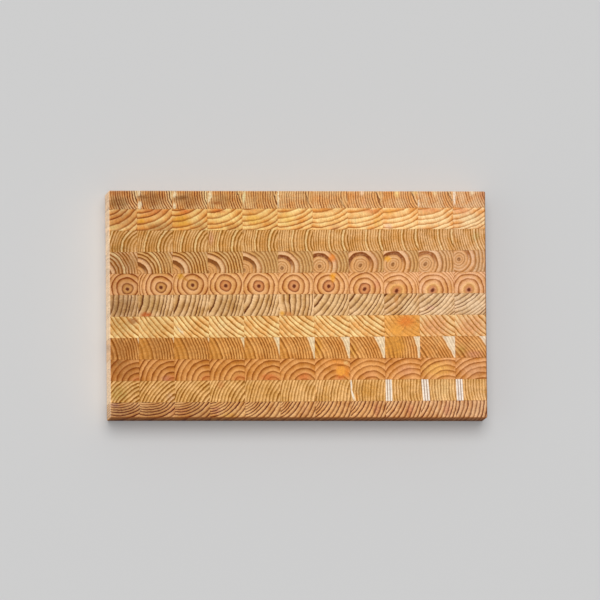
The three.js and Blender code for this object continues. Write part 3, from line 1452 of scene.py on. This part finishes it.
@dataclass(frozen=True)
class Block:
    """One block of the mosaic: a length of timber standing on end."""

    row: int
    column: int
    envelope: Envelope
    glue_up: GlueUp
    arris: float = 0.12  # edge of a joint, eased by the sander
    round_steps: int = 8  # faces across the round-over
    flat_steps: int = 4  # faces across the flat part
    wall_steps: int = 3  # faces down a wall
    sharp: float = 32.0  # degrees between faces, past which their edge is sharp

    @property
    def name(self) -> str:
        """Name of the piece."""
        return f"block_r{self.row:02d}_c{self.column:02d}"

    @property
    def joints(self) -> np.ndarray:
        """Which sides meet another block: left and right, then front and back."""
        last = self.glue_up.count
        return np.array([[self.column > 1, self.column < last], [self.row < last, self.row > 1]])

    def corners(self) -> np.ndarray:
        """Crosses the lines of the block's four sides.

        A side is the glue-up's own line, half a glue line short of the joint, or the outline of
        the board at its edge. Each line is the points whose product with its normal is a constant.

        Returns:
            Corners by left or right, front or back, and x or y.
        """
        centre = self.glue_up.centre(self.row, self.column)
        half_section = (self.glue_up.pitches - self.glue_up.glue_line) / 2
        found = np.empty((2, 2, 2))
        for right in (0, 1):
            for back in (0, 1):
                ends = np.array([right, back])
                sign = 2 * ends - 1
                joint = self.joints[[0, 1], ends]
                normals = np.where(joint[:, None], self.glue_up.axes, np.eye(2))
                offsets = np.where(joint, centre + sign * half_section, sign * self.envelope.half)
                found[right, back] = np.linalg.solve(normals, offsets)
        return found

    def stations(self, span: float, joints: np.ndarray) -> np.ndarray:
        """Places the lines of the lattice across the block.

        At a joint there is one line an arris in from the edge. At the outline the lines are
        r (1 - cos t) in from the edge, at even steps of the angle t round the round-over.

        Args:
            span: Width of the block.
            joints: Whether the low and the high side meet another block.

        Returns:
            Shares of the span from 0 to 1.
        """
        turn = np.linspace(0, math.pi / 2, self.round_steps + 1)
        rounded = self.envelope.round_over * (1 - np.cos(turn))
        eased = np.array([0, self.arris])
        low, high = (eased if joint else rounded for joint in joints)
        flat = np.linspace(low[-1], span - high[-1], self.flat_steps + 1)[1:-1]
        return np.concatenate([low, flat, span - high[::-1]]) / span

    def surface(self) -> tuple[np.ndarray, np.ndarray]:
        """Works out the block's closed skin of quads.

        The top is a lattice between the four corners, carried onto the rounded board and eased
        down at its joints. The underside is its mirror image, and the walls are even rings of
        points between the two rims.

        Returns:
            Vertices in the board's frame, and the four vertex numbers of each face.
        """
        corners = self.corners()
        spans = [
            np.linalg.norm(corners[1, 0] - corners[0, 0]),
            np.linalg.norm(corners[0, 1] - corners[0, 0]),
        ]
        a, b = (self.stations(span, joint) for span, joint in zip(spans, self.joints))
        along = np.stack([1 - a, a])
        back = np.stack([1 - b, b])
        plan = np.einsum("ia,jb,ijk->abk", along, back, corners)
        carried, drop = self.envelope.carry(plan)
        rim = np.zeros(drop.shape)
        rim[[0, -1], :] = self.joints[0][:, None]
        rim[:, [0, -1]] = np.maximum(rim[:, [0, -1]], self.joints[1])
        drop = drop + self.arris * rim
        top = np.dstack([carried, self.envelope.thickness - drop]).reshape(-1, 3)
        bottom = np.dstack([carried, drop]).reshape(-1, 3)

        grid = np.arange(len(top)).reshape(drop.shape)
        loop = np.concatenate([grid[:-1, 0], grid[-1, :-1], grid[:0:-1, -1], grid[0, :0:-1]])
        fall = np.linspace(0, 1, self.wall_steps + 1)[1:-1, None, None]
        walls = (top[loop] * (1 - fall) + bottom[loop] * fall).reshape(-1, 3)
        first = 2 * len(top)
        middle = first + np.arange(len(walls)).reshape(-1, len(loop))
        rings = np.concatenate([loop[None], middle, loop[None] + len(top)])

        quad = np.stack([grid[:-1, :-1], grid[1:, :-1], grid[1:, 1:], grid[:-1, 1:]], -1)
        upper = quad.reshape(-1, 4)
        lower = upper[:, ::-1] + len(top)
        ahead = np.roll(rings, -1, axis=1)
        sides = np.stack([rings[:-1], rings[1:], ahead[1:], ahead[:-1]], -1).reshape(-1, 4)
        return np.concatenate([top, bottom, walls]), np.concatenate([upper, lower, sides])

    def build(self, timber: Timber, finish: bpy.types.Material) -> bpy.types.Object:
        """Makes the block's object and gives its points their places in the timber.

        Args:
            timber: Timber that the block was cut from.
            finish: Finish of that timber.

        Returns:
            The object.
        """
        points, faces = self.surface()
        mesh = bpy.data.meshes.new(self.name)
        mesh.from_pydata((points * MM).tolist(), [], faces.tolist())
        slice_pitch = self.envelope.thickness + self.glue_up.saw_kerf
        along = self.column * slice_pitch + self.envelope.thickness - points[:, 2]
        centre = self.glue_up.centre(self.row, self.column)
        local = points[:, :2] @ self.glue_up.axes.T - centre
        across = local - timber.pith_at(along, slice_pitch)
        for name, plane in ((PLACE, local), (RINGS, across)):
            attribute = mesh.attributes.new(name, "FLOAT_VECTOR", "POINT")
            attribute.data.foreach_set("vector", np.column_stack([plane, along]).ravel())
        edge = mesh.attributes.new(EDGE, "FLOAT", "POINT")
        edge.data.foreach_set("value", self.envelope.edge_share(points[:, :2]))
        mesh.shade_smooth()
        mesh.set_sharp_from_angle(angle=math.radians(self.sharp))
        mesh.materials.append(finish)
        made = bpy.data.objects.new(self.name, mesh)
        bpy.context.collection.objects.link(made)
        return made


@dataclass
class CuttingBoard:
    """The whole board: eleven timbers, cross-cut, stood on end and glued."""

    envelope: Envelope
    glue_up: GlueUp
    timbers: tuple[Timber, ...]

    def stack_of(self, row: int, column: int) -> tuple[Slot, str]:
        """Finds the slot of a row, and the name of the CAD node that holds a block of it.

        Args:
            row: Row of the block, from the back.
            column: Slice of the block, from the left.

        Returns:
            The slot, and the node's name.
        """
        for slot, (first, last) in STACK_ROWS.items():
            if first <= row <= last:
                return slot, f"slice_{column:02d}_rows_{first:02d}_{last:02d}"
        raise ValueError(f"row {row} is in no stack")

    def build(self) -> None:
        """Builds and dresses every block, and sets it in place of its CAD stack."""
        grain = OiledEndGrain(self.envelope.thickness + self.glue_up.saw_kerf)
        for timber in self.timbers:
            finish = grain.material(timber)
            for column in range(1, self.glue_up.count + 1):
                block = Block(timber.row, column, self.envelope, self.glue_up)
                piece = block.build(timber, finish)
                slot, node = self.stack_of(timber.row, column)
                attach(piece, BODY)
                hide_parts(node)
                LOG.info("%s of %s stands for %s", piece.name, finish.name, node)


@dataclass(frozen=True)
class Lamp:
    """A far soft lamp."""

    name: str
    elevation: float  # degrees above the floor
    bearing: float  # degrees from +x towards +y
    spread: float  # degrees across, which softens the shadow
    strength: float
    shadow: bool = True

    def hang(self) -> None:
        """Hangs the lamp."""
        lamp = bpy.data.lights.new(self.name, "SUN")
        lamp.energy = self.strength
        lamp.angle = math.radians(self.spread)
        lamp.use_shadow = self.shadow
        hung = bpy.data.objects.new(self.name, lamp)
        tilt = math.radians(90 - self.elevation)
        hung.rotation_euler = (tilt, 0.0, math.radians(self.bearing + 90))
        bpy.context.collection.objects.link(hung)


@dataclass(frozen=True)
class Studio:
    """A pale floor, soft lamps at the back and left, an even sky, and a camera almost overhead."""

    board: Envelope
    floor_half: float = 4000.0
    floor_colour: str = "#cfcfcf"
    floor_roughness: float = 0.9
    floor_level: float = 0.1  # matt paint has hardly any sheen
    lamps: tuple[Lamp, ...] = (
        Lamp("key", elevation=74, bearing=96, spread=34, strength=1.5),
        Lamp("fill", elevation=38, bearing=172, spread=40, strength=1.2, shadow=False),
    )
    sky_strength: float = 0.29
    image_pixels: float = 600.0
    board_pixel: tuple[float, float] = (298.1, 304.2)  # middle of the top face in the photograph
    pixel_size: float = 1.183  # millimetres in one pixel
    sensor: float = 36.0
    camera_distance: float = 20000.0  # from the top face, for a view with hardly any perspective
    camera_left: float = 6.0  # degrees from straight above towards the left
    camera_front: float = 5.5  # degrees from straight above towards the front
    camera_roll: float = -0.5  # degrees

    def floor(self) -> None:
        """Lays the floor under the board: a flat sheet, as far as the camera sees."""
        half = self.floor_half * MM
        mesh = bpy.data.meshes.new("floor")
        sides = np.array([[-1, -1], [1, -1], [1, 1], [-1, 1]]) * half
        corners = np.column_stack([sides, np.zeros(len(sides))])
        mesh.from_pydata(corners.tolist(), [], [tuple(range(len(sides)))])
        # Matt painted board: an even pale grey without gloss
        paint = bpy.data.materials.new("painted_board_matt")
        paint.use_nodes = True
        shader = paint.node_tree.nodes["Principled BSDF"]
        shader.inputs["Base Color"].default_value = linear(self.floor_colour)
        shader.inputs["Roughness"].default_value = self.floor_roughness
        shader.inputs["Specular IOR Level"].default_value = self.floor_level
        mesh.materials.append(paint)
        floor = bpy.data.objects.new("floor", mesh)
        bpy.context.collection.objects.link(floor)

    def light(self) -> None:
        """Lights the board with soft lamps and an even sky."""
        for lamp in self.lamps:
            lamp.hang()
        world = bpy.data.worlds.new("sky")
        world.use_nodes = True
        sky = world.node_tree.nodes["Background"]
        sky.inputs["Color"].default_value = (1.0, 1.0, 1.0, 1.0)
        sky.inputs["Strength"].default_value = self.sky_strength
        bpy.context.scene.world = world

    def camera(self) -> None:
        """Hangs the camera above the board, so that the board lies where the photograph has it."""
        data = bpy.data.cameras.new("camera")
        middle = self.image_pixels / 2
        field = self.image_pixels * self.pixel_size
        data.sensor_width = self.sensor
        data.lens = data.sensor_width * self.camera_distance / field
        hung = bpy.data.objects.new("camera", data)
        turns = np.radians([self.camera_front, -self.camera_left, self.camera_roll])
        hung.rotation_euler = turns
        aim = Vector(
            (
                (middle - self.board_pixel[0]) * self.pixel_size,
                (self.board_pixel[1] - middle) * self.pixel_size,
                self.camera_distance,
            )
        )
        face = Vector((0.0, 0.0, self.board.thickness))
        hung.location = (face + hung.rotation_euler.to_matrix() @ aim) * MM
        bpy.context.collection.objects.link(hung)
        bpy.context.scene.camera = hung

    def build(self) -> None:
        """Sets the floor, the light, the camera and a plain view of the colours."""
        self.floor()
        self.light()
        self.camera()
        bpy.context.scene.view_settings.view_transform = "Standard"
        LOG.info("studio set")


def main() -> None:
    """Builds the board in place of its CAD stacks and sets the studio."""
    logging.basicConfig(level=logging.INFO, format="%(name)s: %(message)s")
    low, high = (np.array(corner) / MM for corner in CAD_BOX)
    length, width, thickness = (high - low).tolist()
    envelope = Envelope(length, width, thickness)
    CuttingBoard(envelope, GlueUp(), TIMBERS).build()
    Studio(envelope).build()


if __name__ == "__main__":
    main()
